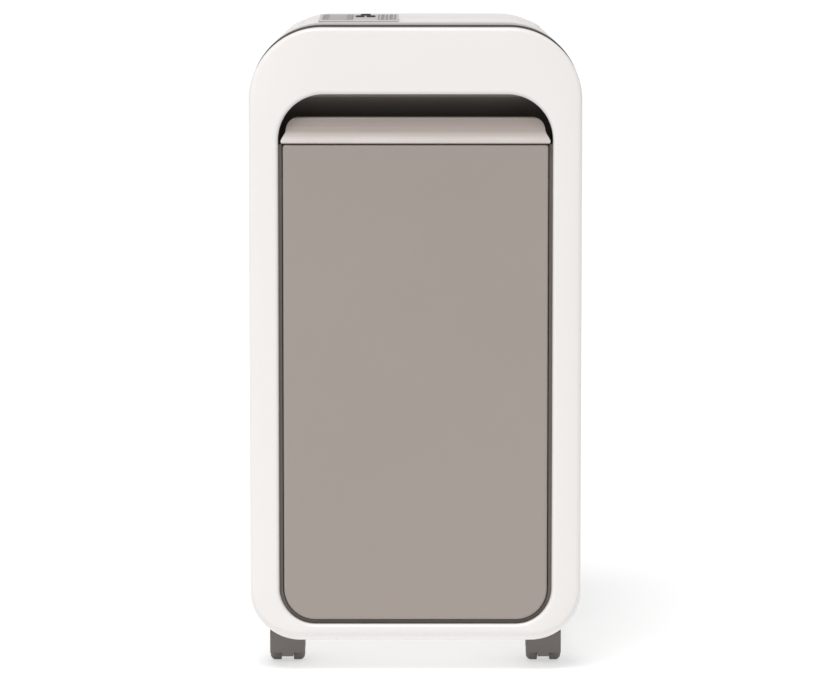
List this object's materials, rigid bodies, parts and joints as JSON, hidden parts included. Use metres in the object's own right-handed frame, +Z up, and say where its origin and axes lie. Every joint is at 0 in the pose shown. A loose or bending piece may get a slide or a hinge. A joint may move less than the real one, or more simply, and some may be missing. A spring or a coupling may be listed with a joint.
{
  "type": "paper shredder",
  "caption": "Deskside paper shredder on twin-wheel casters: rounded-front casing, sloping console, pull-out waste bin and geared cutting head.",
  "frame": {"origin": "on the floor under the middle of the machine", "axes": "+Z up, front faces -Y, +X to the right as seen from the front"},
  "size_m": [0.33, 0.4, 0.6533],
  "materials": {
    "gloss_white": "semi-gloss off-white moulding",
    "shell_white": "satin off-white moulding",
    "bin_taupe": "satin warm grey moulding",
    "dark_plastic": "dark grey-brown moulding",
    "tub_grey": "textured grey moulding",
    "button_grey": "satin",
    "caster_plastic": "satin warm grey nylon",
    "steel": "machined and oiled",
    "zinc_plate": "zinc-plated sheet",
    "nylon": "natural nylon",
    "motor_black": "satin black",
    "board_green": "solder-masked laminate",
    "smoked_lens": "smoked gloss window"
  },
  "bodies": {
    "cabinet": {"front_bezel": "gloss_white", "front_frame": "dark_plastic", "top_cover": "shell_white", "cabinet_left": "shell_white", "cabinet_right": "shell_white", "cabinet_back": "shell_white", "head_back_cover": "shell_white", "base_tray": "shell_white", "head_shelf": "zinc_plate", "finger_recess": "dark_plastic", "throat_guide": "shell_white", "control_panel": "shell_white", "display_lens": "smoked_lens", "control_board": "board_green", "cord_gland": "dark_plastic", "switch_housing": "dark_plastic", "bin_rail_left": "nylon", "bin_rail_right": "nylon", "side_plate_left": "zinc_plate", "side_plate_right": "zinc_plate", "tie_rod_front": "steel", "tie_rod_rear": "steel", "stripper_front": "zinc_plate", "stripper_rear": "zinc_plate", "bearing_front_left": "steel", "bearing_front_right": "steel", "bearing_rear_left": "steel", "bearing_rear_right": "steel", "idler_pin": "steel", "motor_body": "motor_black"},
    "bin": {"bin_tub": "tub_grey", "bin_front_panel": "bin_taupe", "bin_handle_lip": "bin_taupe"},
    "power_button": {"power_button": "button_grey"},
    "forward_button": {"forward_button": "button_grey"},
    "reverse_button": {"reverse_button": "button_grey"},
    "rocker": {"power_rocker": "button_grey"},
    "cutter_rear": {"cutter_shaft_rear": "steel", "sync_gear_rear": "steel", "final_gear": "steel"},
    "cutter_front": {"cutter_shaft_front": "steel", "sync_gear_front": "steel"},
    "idler": {"idler_gear": "steel"},
    "rotor": {"motor_rotor": "steel"},
    "caster_front_left": {"caster_hood_front_left": "caster_plastic"},
    "wheels_front_left": {"caster_axle_front_left": "steel", "wheel_left_front_left": "caster_plastic", "wheel_right_front_left": "caster_plastic"},
    "caster_front_right": {"caster_hood_front_right": "caster_plastic"},
    "wheels_front_right": {"caster_axle_front_right": "steel", "wheel_left_front_right": "caster_plastic", "wheel_right_front_right": "caster_plastic"},
    "caster_rear_left": {"caster_hood_rear_left": "caster_plastic"},
    "wheels_rear_left": {"caster_axle_rear_left": "steel", "wheel_left_rear_left": "caster_plastic", "wheel_right_rear_left": "caster_plastic"},
    "caster_rear_right": {"caster_hood_rear_right": "caster_plastic"},
    "wheels_rear_right": {"caster_axle_rear_right": "steel", "wheel_left_rear_right": "caster_plastic", "wheel_right_rear_right": "caster_plastic"}
  },
  "joints": [
    {"name": "bin_slide", "type": "slide", "parent": "cabinet", "child": "bin", "axis": [0, -1, 0], "range_m": [0, 0.35]},
    {"name": "power_button_press", "type": "slide", "parent": "cabinet", "child": "power_button", "axis": [0, 0, -1], "range_m": [0, 0.0012], "stiffness_N_per_m": 800},
    {"name": "reverse_button_press", "type": "slide", "parent": "cabinet", "child": "reverse_button", "axis": [0, 0, -1], "range_m": [0, 0.0012], "stiffness_N_per_m": 800},
    {"name": "forward_button_press", "type": "slide", "parent": "cabinet", "child": "forward_button", "axis": [0, 0, -1], "range_m": [0, 0.0012], "stiffness_N_per_m": 800},
    {"name": "rocker_tilt", "type": "hinge", "parent": "cabinet", "child": "rocker", "pos_m": [-0.118, 0.1935, 0.535], "axis": [1, 0, 0], "range_deg": [0, 12]},
    {"name": "cutter_rear_spin", "type": "hinge", "parent": "cabinet", "child": "cutter_rear", "pos_m": [0, 0.036, 0.56], "axis": [1, 0, 0], "continuous": true},
    {"name": "cutter_front_spin", "type": "hinge", "parent": "cabinet", "child": "cutter_front", "pos_m": [0, 0.004, 0.56], "axis": [1, 0, 0], "continuous": true},
    {"name": "idler_spin", "type": "hinge", "parent": "cabinet", "child": "idler", "pos_m": [0, 0.08308, 0.54286], "axis": [1, 0, 0], "continuous": true},
    {"name": "motor_spin", "type": "hinge", "parent": "cabinet", "child": "rotor", "pos_m": [0, 0.12546, 0.55829], "axis": [1, 0, 0], "continuous": true},
    {"name": "swivel_front_left", "type": "hinge", "parent": "cabinet", "child": "caster_front_left", "pos_m": [-0.1298, -0.138, 0], "axis": [0, 0, 1], "continuous": true},
    {"name": "roll_front_left", "type": "hinge", "parent": "caster_front_left", "child": "wheels_front_left", "pos_m": [-0.1298, -0.127, 0.01569], "axis": [1, 0, 0], "continuous": true},
    {"name": "swivel_front_right", "type": "hinge", "parent": "cabinet", "child": "caster_front_right", "pos_m": [0.1298, -0.138, 0], "axis": [0, 0, 1], "continuous": true},
    {"name": "roll_front_right", "type": "hinge", "parent": "caster_front_right", "child": "wheels_front_right", "pos_m": [0.1298, -0.127, 0.01569], "axis": [1, 0, 0], "continuous": true},
    {"name": "swivel_rear_left", "type": "hinge", "parent": "cabinet", "child": "caster_rear_left", "pos_m": [-0.1298, 0.145, 0], "axis": [0, 0, 1], "continuous": true},
    {"name": "roll_rear_left", "type": "hinge", "parent": "caster_rear_left", "child": "wheels_rear_left", "pos_m": [-0.1298, 0.156, 0.01569], "axis": [1, 0, 0], "continuous": true},
    {"name": "swivel_rear_right", "type": "hinge", "parent": "cabinet", "child": "caster_rear_right", "pos_m": [0.1298, 0.145, 0], "axis": [0, 0, 1], "continuous": true},
    {"name": "roll_rear_right", "type": "hinge", "parent": "caster_rear_right", "child": "wheels_rear_right", "pos_m": [0.1298, 0.156, 0.01569], "axis": [1, 0, 0], "continuous": true}
  ],
  "couplings": [
    {"joint": "cutter_front_spin", "follows": "cutter_rear_spin", "ratio": -1},
    {"joint": "idler_spin", "follows": "cutter_rear_spin", "ratio": -2.5714},
    {"joint": "motor_spin", "follows": "cutter_rear_spin", "ratio": 10.286}
  ]
}
